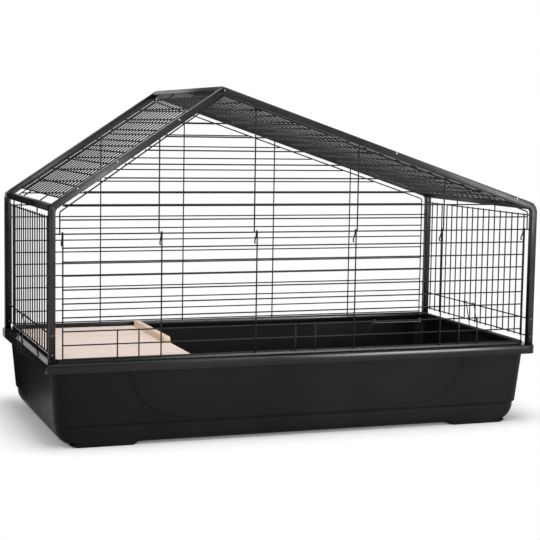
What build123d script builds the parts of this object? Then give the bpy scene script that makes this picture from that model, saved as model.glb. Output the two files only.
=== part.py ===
from build123d import *
from math import atan2, cos, degrees, radians, sin, tan
import os

os.makedirs("parts", exist_ok=True)

# Small-pet cage: a moulded tray carries a house-shaped tube frame with wire grilles.
# Millimetres. X runs left to right, Y from front to back, Z up from the floor.

# Overall sizes
frame_width = 1178.0
frame_depth = 584.0
tray_overhang = 6.0

# Frame tube
tube = 15.0
tube_wall = 1.2
eave_bend_radius = 12.0
eave_height = 531.0
apex_height = 791.0
apex_offset = -203.0

# Wire
wire_diameter = 3.0
wire_pitch = 30.0
wire_sides = 8
clip_sides = 6
running_gap = 0.3
hinge_height = 471.0

# Tray
foot_height = 5.0
foot_length = 155.0
foot_width = 70.0
foot_end_inset = 58.0
foot_front_inset = 33.0
floor_thickness = 3.0
tray_wall = 3.0
flange_height = 192.0
bead_height = 200.0
lip_drop = 21.0
lip_wall = 3.0
rim_corner_radius = 16.0
bead_gap = 0.3
bead_width = 4.7
bead_skirt_drop = 8.0
wall_inset_top = 14.0
wall_inset_ledge = 26.0
ledge_inset = 30.0
wall_inset_low = 33.0
ledge_height = 51.0
ledge_drop = 4.0
wall_corner_radius = 34.0
bottom_round = 22.0
relief_height = 1.5
relief_top_half = 412.0
relief_bottom_half = 285.0

# Front and rear grilles
end_wire_gap = 9.4
slope_wire_depth = 24.0
upright_outer = 345.0
upright_inner = 125.0
perimeter_bend = 8.0

# Door
door_rows = 9
door_upright_end = 558.0
door_upright_mid = 340.0
door_upright_inner = 120.0
door_tail = 26.0
short_pair_centre = 414.0
short_pair_half = 24.0
short_rows = 2
door_foot = 2.5

# Side grilles
side_wires = 18
side_long_index = 5
side_top_height = 504.0
side_mid_height = 254.0
side_low_height = 212.0

# Roof grilles
roof_cross_pitch = 46.0
roof_ridge_margin = 38.6
roof_eave_margin = 52.0

# Latches on the short sides
latch_wire = 2.5
latch_centre = 26.5
latch_half = 21.5
latch_standoff = 1.6

# Door stay
stay_wire = 2.5
stay_centre = 230.0
stay_half = 58.0
stay_row = 7
stay_drop = 46.0
stay_splay = 11.0
stay_lean = 30.0

# Shelf
shelf_top = 189.0
shelf_board_thickness = 9.0
shelf_right_edge = -247.0
shelf_side_gap = 4.0
shelf_corner_radius = 12.0
batten_width = 15.0
batten_height = 14.0
batten_length = 292.0
batten_chamfer = 6.0
panel_thickness = 9.0
panel_depth = 440.0
panel_inset = 14.0
left_panel_inset = 36.0

# Screws
screw_head_diameter = 6.0
screw_head_height = 1.2
screw_sides = 12
screw_head_draft = 30

# Sizes that follow from the ones above
half_w = frame_width / 2
half_d = frame_depth / 2
half_tube = tube / 2
wire_r = wire_diameter / 2
rim_w = half_w + tray_overhang
rim_d = half_d + tray_overhang
bead_inset = tray_overhang + tube + bead_gap
grille_y = half_d - half_tube
side_x = half_w - half_tube
floor_top = foot_height + floor_thickness
lip_bottom = flange_height - lip_drop
flange_under = flange_height - lip_wall
post_inner_x = half_w - tube
post_inner_y = half_d - tube
end_wire_x = post_inner_x - end_wire_gap
wrap_radius = wire_diameter + running_gap
left_slope = atan2(apex_height - eave_height, apex_offset + half_w)
right_slope = atan2(apex_height - eave_height, half_w - apex_offset)


def rounded_rect(half_x, half_y, radius, height):
    """Rounded rectangle lying level at one height."""
    plane = Plane.XY.offset(height)
    return plane * RectangleRounded(2 * half_x, 2 * half_y, radius)


def rim_ring(inset, height, radius):
    """Outline that follows the tray rim at one inset from its outer edge."""
    return rounded_rect(rim_w - inset, rim_d - inset, radius, height)


def draft_between(low_inset, high_inset, rise):
    """Draft angle of a wall that leans out from one inset to another."""
    return degrees(atan2(low_inset - high_inset, rise))


def drafted(inset, low, high, upper_inset, radius):
    """Block that widens with the wall's draft from one inset at its foot to another at its top."""
    rise = high - low
    return extrude(
        rim_ring(inset, low, radius), rise, taper=-draft_between(inset, upper_inset, rise)
    )


def tray_form(skin):
    """Solid form of the tray below its rim, drawn in by the wall where skin is more than 0."""
    corner = wall_corner_radius - skin
    base = foot_height + skin
    step_low = ledge_height - ledge_drop
    low = drafted(wall_inset_low + skin, base, step_low, ledge_inset + skin, corner)
    foot_edges = low.faces().sort_by(Axis.Z)[0].edges()
    if skin:
        low = chamfer(foot_edges, (bottom_round - skin) / 2)
    else:
        low = fillet(foot_edges, bottom_round)
    ledge = drafted(
        ledge_inset + skin, step_low, ledge_height, wall_inset_ledge + skin, corner
    )
    wall = drafted(
        wall_inset_ledge + skin, ledge_height, flange_height, wall_inset_top + skin, corner
    )
    return low + ledge + wall


def relief_outline():
    """Curved field on the long walls, wide under the rim and drawn in to the ledge."""
    top = lip_bottom + lip_wall
    bulge = (relief_top_half - relief_bottom_half) / 3
    mid_height = (top + ledge_height) / 2
    mid_half = (relief_top_half + relief_bottom_half) / 2 - bulge / 2
    right = ThreePointArc(
        (relief_top_half, top), (mid_half, mid_height), (relief_bottom_half, ledge_height)
    )
    left = mirror(right, about=Plane.YZ)
    over = Line((-relief_top_half, top), (relief_top_half, top))
    under = Line((-relief_bottom_half, ledge_height), (relief_bottom_half, ledge_height))
    return make_face([right, left, over, under])


def relief_fields(form, cavity):
    """The two raised fields, each a skin over the drafted wall."""
    prism = extrude(Plane.XZ * relief_outline(), rim_d + tube, both=True)
    raised = drafted(
        wall_inset_ledge - relief_height,
        ledge_height,
        flange_height,
        wall_inset_top - relief_height,
        wall_corner_radius,
    )
    return (raised & prism) - cavity


def tray_feet():
    """Four low pads under the corners."""
    pad = Box(
        foot_length,
        foot_width,
        foot_height + floor_thickness / 2,
        align=(Align.CENTER, Align.CENTER, Align.MIN),
    )
    pad = fillet(pad.edges().filter_by(Axis.Z), foot_width / 6)
    x = rim_w - foot_end_inset - foot_length / 2
    y = rim_d - foot_front_inset - foot_width / 2
    return [Pos(i * x, j * y, 0) * pad for i in (-1, 1) for j in (-1, 1)]


def make_tray():
    """Moulded tray: drafted walls, stepped ledge, turned-down lip, raised bead and feet."""
    form = tray_form(0)
    cavity = tray_form(tray_wall)
    body = form - cavity
    body = body + relief_fields(form, cavity)
    rim = extrude(rim_ring(0, lip_bottom, rim_corner_radius), lip_drop)
    under = extrude(
        rim_ring(lip_wall, lip_bottom, rim_corner_radius - lip_wall), lip_drop - lip_wall
    )
    flange = rim - under
    bead_low = flange_under - bead_skirt_drop
    bead = extrude(
        rim_ring(bead_inset, bead_low, rim_corner_radius - lip_wall), bead_height - bead_low
    )
    bead = chamfer(bead.faces().sort_by(Axis.Z)[-1].edges(), bead_width / 4)
    mouth = extrude(
        rim_ring(bead_inset + bead_width, bead_low, rim_corner_radius - 2 * lip_wall),
        bead_height - bead_low,
    )
    tray = body + (flange - cavity_over(cavity)) + bead - mouth
    for pad in tray_feet():
        tray = tray + pad
    return tray


def cavity_over(cavity):
    """The part of the hollow that the flange must not close."""
    return extrude(
        rim_ring(bead_inset + bead_width, lip_bottom, rim_corner_radius - 2 * lip_wall),
        lip_drop,
    )


def frame_path(side, inset):
    """Points of one half-frame's line, drawn in from the outer edge by inset."""
    slope = left_slope if side < 0 else right_slope
    post_x = side * (half_w - inset)
    drop = inset / cos(slope) - inset * tan(slope)
    eave = (post_x, eave_height - drop)
    rise = inset / cos(slope)
    apex_z = eave[1] + (abs(apex_offset - post_x)) * tan(slope)
    return [(post_x, flange_height), eave, (apex_offset, apex_z)], rise


def frame_band(side, inset_out, inset_in, radius):
    """Flat band of one half-frame between two insets, cut off at the mitre."""
    outer, _ = frame_path(side, inset_out)
    inner, _ = frame_path(side, inset_in)
    outline = Polyline(outer + inner[::-1], close=True)
    face = make_face(outline)
    bends = [
        v for v in face.vertices()
        if abs(abs(v.X) - (half_w - inset_out)) < 1e-3 and v.Y > flange_height + 1
    ]
    face = fillet(bends, radius + tube)
    bends = [
        v for v in face.vertices()
        if abs(abs(v.X) - (half_w - inset_in)) < 1e-3 and v.Y > flange_height + 1
    ]
    return fillet(bends, radius)


def half_frame_block(side, front):
    """Solid envelope of one half-frame, used to trim what meets it."""
    band = frame_band(side, 0, tube, eave_bend_radius)
    block = extrude(Plane.XZ * band, tube)
    return Pos(0, tube - half_d if front else half_d, 0) * block


def make_half_frame(side, front):
    """Post and rafter bent from one hollow square tube, mitred at the apex."""
    band = frame_band(side, tube_wall, tube - tube_wall, eave_bend_radius + tube_wall)
    core = extrude(Plane.XZ * band, tube - 2 * tube_wall)
    y = tube - tube_wall - half_d if front else half_d - tube_wall
    return half_frame_block(side, front) - Pos(0, y, 0) * core


def tube_rail(length):
    """Straight hollow square tube along Y, centred."""
    outer = Box(tube, length, tube)
    inner = Box(tube - 2 * tube_wall, length, tube - 2 * tube_wall)
    return outer - inner


def rail_place(side):
    """Centre of the eave rail: where the post and rafter lines meet."""
    points, _ = frame_path(side, half_tube)
    return points[1]


def ridge_place():
    """Centre of the ridge beam: where the two rafter lines meet."""
    points, _ = frame_path(-1, half_tube)
    return points[2]


def make_eave_rail(side):
    """Rail that joins the front and rear eave bends."""
    x, z = rail_place(side)
    return Pos(x, 0, z) * tube_rail(2 * post_inner_y)


def make_ridge_beam():
    """Square tube turned on its edge between the two apexes."""
    x, z = ridge_place()
    return Pos(x, 0, z) * Rot(0, 45, 0) * tube_rail(2 * post_inner_y)


def wire_section(origin, along, diameter, flat=None, sides=wire_sides):
    """Many-sided section of a wire, with a flat towards each neighbour that it is welded to."""
    plane = Plane(origin=origin, z_dir=along)
    if flat is not None:
        plane = Plane(origin=origin, x_dir=flat, z_dir=along)
    return plane * RegularPolygon(
        diameter / 2, sides, major_radius=False, rotation=180 / sides
    )


def straight_wire(start, end, diameter=wire_diameter, flat=None, sides=wire_sides):
    """Wire from one point to another."""
    run = Vector(end) - Vector(start)
    return extrude(wire_section(start, run, diameter, flat, sides), run.length)


def bent_wire(points, radius, diameter=wire_diameter, sides=wire_sides):
    """Wire along straight runs joined by tangent bends."""
    places = [Vector(p) for p in points]
    start = places[0]
    flat = None
    pieces = []
    for before, corner, after in zip(places, places[1:], places[2:]):
        come = (corner - before).normalized()
        go = (after - corner).normalized()
        turn = radians(come.get_angle(go))
        reach = radius * tan(turn / 2)
        enter = corner - come * reach
        normal = come.cross(go).normalized()
        centre = enter + normal.cross(come) * radius
        pieces.append(straight_wire(start, enter, diameter, flat or normal, sides))
        section = wire_section(enter, come, diameter, normal, sides)
        pieces.append(revolve(section, Axis(centre, normal), degrees(turn)))
        start = corner + go * reach
        flat = normal
    pieces.append(straight_wire(start, places[-1], diameter, flat, sides))
    return pieces[0].fuse(*pieces[1:])


def single(shape):
    """The largest solid of a trimmed wire."""
    return sorted(shape.solids(), key=lambda s: s.volume)[-1]


def slope_height(x, depth):
    """Height of the line that runs under the roof edge at one depth from it."""
    if x < apex_offset:
        return apex_height - (apex_offset - x) * tan(left_slope) - depth / cos(left_slope)
    return apex_height - (x - apex_offset) * tan(right_slope) - depth / cos(right_slope)


def house_points(y, low):
    """Open outline of a gable grille from its left foot over the apex to its right foot."""
    left_eave = slope_height(-end_wire_x, slope_wire_depth)
    right_eave = slope_height(end_wire_x, slope_wire_depth)
    top = min(
        slope_height(apex_offset, slope_wire_depth),
        slope_height(apex_offset - 1e-6, slope_wire_depth),
    )
    return [
        (-end_wire_x, y, low),
        (-end_wire_x, y, left_eave),
        gable_peak(y, top),
        (end_wire_x, y, right_eave),
        (end_wire_x, y, low),
    ]


def gable_peak(y, top):
    """Where the two slope wires meet under the apex."""
    rise = slope_wire_depth * (1 / cos(left_slope) - 1 / cos(right_slope))
    shift = rise / (tan(left_slope) + tan(right_slope))
    return (apex_offset + shift, y, top + shift * tan(left_slope))


def row_reach(height):
    """Left and right ends of a grille row between the perimeter wires."""
    gap = slope_wire_depth + wire_r
    left = -end_wire_x
    right = end_wire_x
    if height > slope_height(left, gap):
        left = apex_offset - (apex_height - height - gap / cos(left_slope)) / tan(left_slope)
    if height > slope_height(right, gap):
        right = apex_offset + (apex_height - height - gap / cos(right_slope)) / tan(right_slope)
    return left, right


def gable_rows(y, low_row):
    """Level wires of a gable grille, from one row up to the peak."""
    rows = []
    peak = gable_peak(y, slope_height(apex_offset, slope_wire_depth))[2]
    level = low_row
    while hinge_height + level * wire_pitch < peak - wire_pitch / 2:
        height = hinge_height + level * wire_pitch
        left, right = row_reach(height)
        if level == 0:
            left, right = -post_inner_x, post_inner_x
        rows.append(straight_wire((left, y, height), (right, y, height)))
        level += 1
    return rows


def rafter_trim(front):
    """Envelopes of both half-frames on one face of the cage."""
    return half_frame_block(-1, front) + half_frame_block(1, front)


def make_gable_grille():
    """Fixed grille above the door: hinge wire, rows, uprights and the wire under the roof edge."""
    y = -grille_y
    layer = y - wire_diameter
    wires = gable_rows(y, 0)
    wires.append(bent_wire(house_points(layer, hinge_height - wire_r), perimeter_bend))
    block = rafter_trim(True)
    for x in (-upright_outer, -upright_inner, upright_inner, upright_outer):
        inner = y + wire_diameter
        top = slope_height(x, half_tube)
        wire = straight_wire((x, inner, hinge_height - wire_r), (x, inner, top))
        wires.append(single(wire - block))
    return wires


def make_rear_grille():
    """Full rear grille, standing on the tray rim."""
    y = grille_y
    layer = y + wire_diameter
    wires = gable_rows(y, -door_rows)
    wires.append(bent_wire(house_points(layer, flange_height), perimeter_bend))
    block = rafter_trim(False)
    for x in (-upright_outer, -upright_inner, upright_inner, upright_outer):
        inner = y - wire_diameter
        top = slope_height(x, half_tube)
        foot = bead_height if abs(inner) < rim_d - bead_inset else flange_height
        wire = straight_wire((x, inner, foot), (x, inner, top))
        wires.append(single(wire - block))
    return wires


def hooked_upright(x, foot):
    """Door upright whose top wraps over the hinge wire and hangs down inside as a tail."""
    outer = -grille_y - wrap_radius
    inner = -grille_y + wrap_radius
    crown = hinge_height + wrap_radius
    points = [
        (x, outer, foot),
        (x, outer, crown),
        (x, inner, crown),
        (x, inner, hinge_height - door_tail),
    ]
    return bent_wire(points, wrap_radius * 0.999, sides=clip_sides)


def door_height(row):
    """Height of a door row below the hinge wire."""
    return hinge_height - row * wire_pitch


def make_door():
    """Front door: level rows welded behind uprights that hook over the hinge wire."""
    y = -grille_y - running_gap
    wires = []
    reach = door_upright_end + wire_r
    for row in range(1, door_rows + 1):
        z = door_height(row)
        wires.append(straight_wire((-reach, y, z), (reach, y, z)))
    foot = door_height(door_rows) - door_foot
    for x in (door_upright_inner, door_upright_mid, door_upright_end):
        wires.append(hooked_upright(x, foot))
        wires.append(hooked_upright(-x, foot))
    front = y - wire_diameter
    top = door_height(door_rows - short_rows) + door_foot
    for x in short_upright_places():
        wires.append(straight_wire((x, front, foot), (x, front, top)))
    return wires


def short_upright_places():
    """X positions of the pairs of short uprights at the door's lower edge."""
    centres = (-short_pair_centre, 0, short_pair_centre)
    return [c + s * short_pair_half for c in centres for s in (-1, 1)]


def side_places():
    """Y positions of the wires that run up a side or down a roof slope."""
    pitch = 2 * post_inner_y / (side_wires + 1)
    return [(i - (side_wires - 1) / 2) * pitch for i in range(side_wires)]


def is_long(index):
    """True for the two wires that reach past the grille to the tubes."""
    return index in (side_long_index, side_wires - 1 - side_long_index)


def make_side_grille(side):
    """Side grille: three level wires between the posts with the close uprights inside them."""
    x = side * side_x
    wires = []
    for z in (side_top_height, side_mid_height, side_low_height):
        wires.append(straight_wire((x, -post_inner_y, z), (x, post_inner_y, z)))
    inner = side * (side_x - wire_diameter)
    rail_under = rail_place(side)[1] - half_tube
    for index, y in enumerate(side_places()):
        low = side_low_height - wire_diameter
        top = side_top_height + wire_diameter
        if is_long(index):
            low = flange_height
            top = rail_under
        wires.append(straight_wire((inner, y, low), (inner, y, top)))
    return wires


def slope_point(side, along, depth):
    """Point on a roof slope, measured down from the apex and in from the roof edge."""
    slope = left_slope if side < 0 else right_slope
    x = apex_offset + side * (along * cos(slope) - depth * sin(slope) * 1)
    z = apex_height - along * sin(slope) - depth * cos(slope)
    return x, z


def make_roof_grille(side):
    """Roof grille: close wires down the slope over level cross wires."""
    slope = left_slope if side < 0 else right_slope
    run = abs(side * half_w - apex_offset) / cos(slope)
    span = run - roof_ridge_margin - roof_eave_margin
    steps = round(span / roof_cross_pitch)
    reach = side_places()[-1] + wire_r
    wires = []
    for step in range(steps + 1):
        along = roof_ridge_margin + span * step / steps
        x, z = slope_point(side, along, half_tube + wire_diameter)
        wires.append(straight_wire((x, -reach, z), (x, reach, z)))
    ridge_x, ridge_z = ridge_place()
    ridge = Pos(ridge_x, 0, ridge_z) * Rot(0, 45, 0) * Box(tube, frame_depth, tube)
    rail_x, rail_z = rail_place(side)
    rail = Pos(rail_x, 0, rail_z) * Box(tube, frame_depth, tube)
    for index, y in enumerate(side_places()):
        start = roof_ridge_margin - wire_diameter
        end = run - roof_eave_margin + wire_diameter
        if is_long(index):
            start = half_tube * tan(slope) / 2
            end = run - half_tube
        x0, z0 = slope_point(side, start, half_tube)
        x1, z1 = slope_point(side, end, half_tube)
        wire = straight_wire((x0, y, z0), (x1, y, z1))
        if is_long(index):
            wire = single(wire - ridge - rail)
        wires.append(wire)
    return wires


def latch_points(side):
    """Leg and catch of a side latch: over the lower wire, out past the rim and under its lip."""
    outer = side * (side_x + wire_r + latch_standoff + latch_wire / 2)
    catch_x = side * (rim_w + latch_wire / 2 + running_gap)
    knee = flange_height + wire_diameter + latch_wire
    foot = lip_bottom - latch_wire / 4
    return outer, catch_x, knee, foot


def make_latch(side):
    """Spring wire latch that hangs on the upper of the two lower wires of the side grille."""
    outer, catch_x, knee, foot = latch_points(side)
    hook_r = wire_r + latch_wire / 2 + running_gap
    near = side * (side_x - hook_r)
    top = side_mid_height + hook_r
    bottom = side_mid_height - wire_diameter
    left = latch_centre - latch_half
    right = latch_centre + latch_half
    points = [
        (near, left, bottom),
        (near, left, top),
        (outer, left, top),
        (outer, left, knee + latch_wire),
        (catch_x, left, knee - latch_wire),
        (catch_x, left, foot),
        (catch_x, right, foot),
        (catch_x, right, knee - latch_wire),
        (outer, right, knee + latch_wire),
        (outer, right, top),
        (near, right, top),
        (near, right, bottom),
    ]
    return bent_wire(points, hook_r * 0.72, latch_wire, clip_sides)


def make_stay():
    """Wire stay hung on a door row: two free legs joined by a bar that wraps the row."""
    hook_r = wire_r + stay_wire / 2 + running_gap
    y = -grille_y - running_gap
    z = door_height(stay_row)
    inner = y + hook_r
    outer = y - hook_r
    left = stay_centre - stay_half
    right = stay_centre + stay_half
    points = [
        (left - stay_splay, inner + stay_lean, z - stay_drop),
        (left, inner, z - wire_r),
        (left, inner, z + hook_r),
        (left, outer, z + hook_r),
        (left, outer, z - hook_r),
        (right, outer, z - hook_r),
        (right, outer, z + hook_r),
        (right, inner, z + hook_r),
        (right, inner, z - wire_r),
        (right + stay_splay, inner + stay_lean, z - stay_drop),
    ]
    return bent_wire(points, hook_r * 0.52, stay_wire, clip_sides)


def mouth_half_depth():
    """Half depth of the tray mouth inside the bead."""
    return rim_d - bead_inset - bead_width


def mouth_half_width():
    """Half width of the tray mouth inside the bead."""
    return rim_w - bead_inset - bead_width


def shelf_plan():
    """Left edge, right edge and half depth of the shelf board."""
    left = shelf_side_gap - mouth_half_width()
    return left, shelf_right_edge, mouth_half_depth() - shelf_side_gap


def make_shelf_board():
    """Plywood shelf across the left end of the tray."""
    left, right, half = shelf_plan()
    board = Box(
        right - left, 2 * half, shelf_board_thickness, align=(Align.MIN, Align.CENTER, Align.MAX)
    )
    board = fillet(board.edges().filter_by(Axis.Z), shelf_corner_radius)
    return Pos(left, 0, shelf_top) * board


def make_shelf_batten():
    """Batten along the rear of the shelf's right edge, with its front end cut at a slant."""
    _, right, half = shelf_plan()
    profile = Polyline(
        (half, 0),
        (half, batten_height),
        (half - batten_length + batten_chamfer, batten_height),
        (half - batten_length, batten_height - batten_chamfer),
        (half - batten_length, 0),
        close=True,
    )
    side = extrude(Plane.YZ * make_face(profile), batten_width)
    return Pos(right - batten_width, -shelf_corner_radius, shelf_top) * side


def make_shelf_panel(x):
    """Upright board under the shelf, from the tray floor to its underside."""
    height = shelf_top - shelf_board_thickness - floor_top
    panel = Box(
        panel_thickness, panel_depth, height, align=(Align.CENTER, Align.CENTER, Align.MIN)
    )
    panel = chamfer(panel.edges().filter_by(Axis.X), panel_inset / 4)
    return Pos(x, 0, floor_top) * panel


def screw(x, z, front):
    """Pan-head screw that enters one face of the frame at a point."""
    sign = -1 if front else 1
    rim = RegularPolygon(screw_head_diameter / 2, screw_sides)
    dome = extrude(rim, screw_head_height, taper=screw_head_draft)
    turned = Rot(90 if front else -90, 0, 0) * dome
    return Pos(x, sign * half_d, z) * turned


def screw_places():
    """Points on the frame's faces where screws join the rails and grilles."""
    places = [ridge_place(), rail_place(-1), rail_place(1)]
    for side in (-1, 1):
        for z in (side_mid_height, side_low_height):
            places.append((side * side_x, z))
    return places


def make_screws(front):
    """All screws of one face."""
    return [screw(x, z, front) for x, z in screw_places()]


def write(name, shape):
    """Write one node as a STEP file."""
    if isinstance(shape, list):
        shape = Compound(children=shape)
    export_step(shape, f"parts/{name}.step")


def main():
    """Build every node."""
    write("tray", make_tray())
    write("frame_front_left", make_half_frame(-1, True))
    write("frame_front_right", make_half_frame(1, True))
    write("frame_rear_left", make_half_frame(-1, False))
    write("frame_rear_right", make_half_frame(1, False))
    write("ridge_beam", make_ridge_beam())
    write("eave_rail_left", make_eave_rail(-1))
    write("eave_rail_right", make_eave_rail(1))
    write("gable_grille", make_gable_grille())
    write("front_door", make_door())
    write("rear_grille", make_rear_grille())
    write("side_grille_left", make_side_grille(-1))
    write("side_grille_right", make_side_grille(1))
    write("roof_grille_left", make_roof_grille(-1))
    write("roof_grille_right", make_roof_grille(1))
    write("latch_left", make_latch(-1))
    write("latch_right", make_latch(1))
    write("door_stay", make_stay())
    write("shelf_board", make_shelf_board())
    write("shelf_batten", make_shelf_batten())
    left, right, _ = shelf_plan()
    write("shelf_panel_left", make_shelf_panel(left + left_panel_inset))
    write("shelf_panel_right", make_shelf_panel(right - panel_inset - panel_thickness / 2))
    write("screws_front", make_screws(True))
    write("screws_rear", make_screws(False))


main()
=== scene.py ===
"""Rabbit cage dressed for a studio picture: black wire house, moulded tray, wooden shelf."""

import logging
import math
from dataclasses import dataclass
from enum import Enum

import bmesh
import bpy
from mathutils import Matrix, Vector

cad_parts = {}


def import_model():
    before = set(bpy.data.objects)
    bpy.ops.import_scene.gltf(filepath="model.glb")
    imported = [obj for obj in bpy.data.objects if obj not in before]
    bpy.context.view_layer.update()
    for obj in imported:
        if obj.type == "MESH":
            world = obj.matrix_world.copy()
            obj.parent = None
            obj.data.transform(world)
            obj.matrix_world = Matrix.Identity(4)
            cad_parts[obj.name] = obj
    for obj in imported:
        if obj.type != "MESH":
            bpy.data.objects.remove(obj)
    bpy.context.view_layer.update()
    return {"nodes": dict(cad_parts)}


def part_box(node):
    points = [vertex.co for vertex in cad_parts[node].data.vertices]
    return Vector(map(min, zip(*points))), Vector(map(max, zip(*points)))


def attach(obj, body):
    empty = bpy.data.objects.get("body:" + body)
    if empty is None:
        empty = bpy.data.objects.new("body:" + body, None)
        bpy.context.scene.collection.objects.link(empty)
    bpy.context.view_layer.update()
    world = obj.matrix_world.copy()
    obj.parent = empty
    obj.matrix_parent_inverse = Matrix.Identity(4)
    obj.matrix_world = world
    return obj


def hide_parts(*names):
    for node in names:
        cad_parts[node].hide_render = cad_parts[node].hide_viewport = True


LOG = logging.getLogger("cage")
MM = 0.001

Colour = tuple[float, float, float]
Point = tuple[float, float, float]
Spot = tuple[float, float]
Row = tuple[float, float, float]
Socket = bpy.types.NodeSocket

# Corners of a level outline in anticlockwise order: sign of X, sign of Y, first angle in degrees.
CORNERS = ((1, -1, -90), (1, 1, 0), (-1, 1, 90), (-1, -1, 180))


class Side(Enum):
    """Left or right end of the cage, as the sign of X."""

    LEFT = -1
    RIGHT = 1


class Face(Enum):
    """Front or rear of the cage, as the sign of Y."""

    FRONT = -1
    REAR = 1


@dataclass(frozen=True)
class CageSizes:
    """Sizes that several sub-assemblies share, in millimetres."""

    half_w: float = 589.0
    half_d: float = 292.0
    tube: float = 15.0
    bend: float = 12.0
    eave: float = 531.0
    apex: float = 791.0
    apex_x: float = -203.0
    wire: float = 3.0
    pitch: float = 30.0
    hinge: float = 471.0
    flange: float = 192.0
    gap: float = 0.3
    end_wire_x: float = 564.6
    slope_depth: float = 24.0
    paint: float = 0.1

    def wire_radius(self) -> float:
        """Radius of a grille wire with its paint."""
        return self.wire / 2 + self.paint

    def slope(self, side: Side) -> float:
        """Angle of one roof slope, in radians."""
        return math.atan2(self.apex - self.eave, self.half_w - side.value * self.apex_x)

    def line_x(self) -> float:
        """X of the side grilles, at the middle of the posts."""
        return self.half_w - self.tube / 2

    def line_y(self) -> float:
        """Y of the front and rear grilles, at the middle of the posts."""
        return self.half_d - self.tube / 2

    def inner_y(self) -> float:
        """Y of the posts' inner faces."""
        return self.half_d - self.tube

    def roof_height(self, x: float, depth: float) -> float:
        """Height of the line that runs under the roof edge.

        Args:
            x: Place along the cage.
            depth: Distance below the roof edge, square to the slope.

        Returns:
            The height above the floor.
        """
        side = Side.LEFT if x < self.apex_x else Side.RIGHT
        angle = self.slope(side)
        return self.apex - abs(x - self.apex_x) * math.tan(angle) - depth / math.cos(angle)

    def peak(self, depth: float) -> Spot:
        """Point where two lines under the roof edges meet.

        Args:
            depth: Distance of both lines below the roof edges, square to each slope.

        Returns:
            Its X and Z.
        """
        left, right = self.slope(Side.LEFT), self.slope(Side.RIGHT)
        rise = depth * (1 / math.cos(left) - 1 / math.cos(right))
        shift = rise / (math.tan(left) + math.tan(right))
        return self.apex_x + shift, self.apex - depth / math.cos(left) + shift * math.tan(left)

    def eave_corner(self, side: Side, inset: float) -> Spot:
        """Corner of a half-frame's line at the eave.

        Args:
            side: Left or right half-frame.
            inset: Distance of the line from the frame's outer edge.

        Returns:
            Its X and Z.
        """
        angle = self.slope(side)
        drop = inset / math.cos(angle) - inset * math.tan(angle)
        return side.value * (self.half_w - inset), self.eave - drop

    def bend_middle(self, side: Side) -> Spot:
        """Middle of the eave bend on the tube's centre line.

        Args:
            side: Left or right half-frame.

        Returns:
            Its X and Z.
        """
        x, z = self.eave_corner(side, self.tube / 2)
        angle = self.slope(side)
        turn = math.pi / 2 - angle
        inward = Vector((-side.value * math.cos(angle), math.sin(angle) - 1)).normalized()
        shift = (self.bend + self.tube / 2) * (1 / math.cos(turn / 2) - 1)
        return x + inward.x * shift, z + inward.y * shift

    def side_places(self, count: int = 18) -> list[float]:
        """Y positions of the close wires of a side or a roof slope."""
        pitch = 2 * self.inner_y() / (count + 1)
        return [(i - (count - 1) / 2) * pitch for i in range(count)]


class NodeBench:
    """Adds nodes to one node tree and joins them."""

    def __init__(self, tree: bpy.types.NodeTree) -> None:
        """Take the tree of a material or of the world."""
        self.tree = tree

    def add(self, kind: str, inputs: dict[str | int, object] | None = None) -> bpy.types.Node:
        """Add a node and feed its inputs.

        Args:
            kind: Kind of node, without the ShaderNode in front.
            inputs: A value, or a socket to link, for each input.

        Returns:
            The node.
        """
        node = self.tree.nodes.new(f"ShaderNode{kind}")
        self.feed(node, inputs or {})
        return node

    def feed(self, node: bpy.types.Node, inputs: dict[str | int, object]) -> None:
        """Give a node its inputs.

        Args:
            node: The node.
            inputs: A value, or a socket to link, for each input.
        """
        for key, value in inputs.items():
            if isinstance(value, bpy.types.NodeSocket):
                self.tree.links.new(value, node.inputs[key])
            else:
                node.inputs[key].default_value = value

    def reckon(self, operation: str, *values: object) -> Socket:
        """Work out one number from others.

        Args:
            operation: Name of the operation.
            values: Numbers or sockets.

        Returns:
            The result's socket.
        """
        node = self.add("Math", dict(enumerate(values)))
        node.operation = operation
        return node.outputs["Value"]

    def vector(self, operation: str, *values: object) -> bpy.types.Node:
        """Work on vectors.

        Args:
            operation: Name of the operation.
            values: Vectors or sockets.

        Returns:
            The node.
        """
        node = self.add("VectorMath", dict(enumerate(values)))
        node.operation = operation
        return node


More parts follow.
